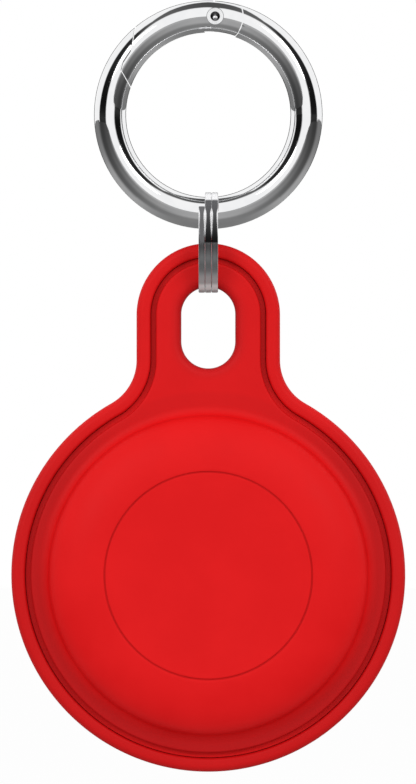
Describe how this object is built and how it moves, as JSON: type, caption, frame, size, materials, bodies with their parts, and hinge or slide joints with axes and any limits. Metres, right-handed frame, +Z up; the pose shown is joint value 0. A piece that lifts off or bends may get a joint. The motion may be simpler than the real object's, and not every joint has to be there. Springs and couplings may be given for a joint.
{
  "type": "tracker tag holder",
  "caption": "Soft round case for a coin-shaped tracker tag, with a slotted hanging tab, a split ring and a chrome spring gate ring.",
  "frame": {"origin": "inside top of the gate ring, the place that hangs on a hook, strap or key", "axes": "+Z up as it hangs, front of the case towards -Y, +X to the right of the front view"},
  "size_m": [0.043, 0.0112, 0.0843],
  "materials": {
    "chrome": "bright plated",
    "polished_steel": "polished",
    "spring_steel": "drawn wire",
    "red_silicone": "soft satin"
  },
  "bodies": {
    "gate_ring": {"ring_body": "chrome"},
    "gate": {"gate": "chrome", "gate_pin": "chrome", "gate_spring": "spring_steel"},
    "plunger": {"plunger": "spring_steel"},
    "split_ring": {"split_ring": "polished_steel"},
    "holder": {"rear_shell": "red_silicone"},
    "cover": {"front_cover": "red_silicone"}
  },
  "joints": [
    {"name": "gate_hinge", "type": "hinge", "parent": "gate_ring", "child": "gate", "pos_m": [0.00075, 0, 0.00172], "axis": [0, -1, 0], "range_deg": [0, 32], "stiffness_Nm_per_rad": 0.05, "springref_deg": -45.84},
    {"name": "plunger_slide", "type": "slide", "parent": "gate", "child": "plunger", "axis": [-1, 0, 0], "range_m": [0, 0.0007], "deforming": ["gate_spring"]},
    {"name": "split_ring_turn", "type": "hinge", "parent": "gate_ring", "child": "split_ring", "pos_m": [0, 0, -0.009], "axis": [0, 1, 0], "range_deg": [-145, 95]},
    {"name": "holder_swing", "type": "hinge", "parent": "split_ring", "child": "holder", "pos_m": [0, 0, -0.02297], "axis": [1, 0, 0], "range_deg": [-75, 75]},
    {"name": "cover_peel", "type": "hinge", "parent": "holder", "child": "cover", "pos_m": [0, -0.0017, -0.0231], "axis": [-1, 0, 0], "range_deg": [0, 20]}
  ],
  "couplings": [
    {"joint": "plunger_slide", "follows": "gate_hinge", "m_per_rad": 0.00118}
  ]
}
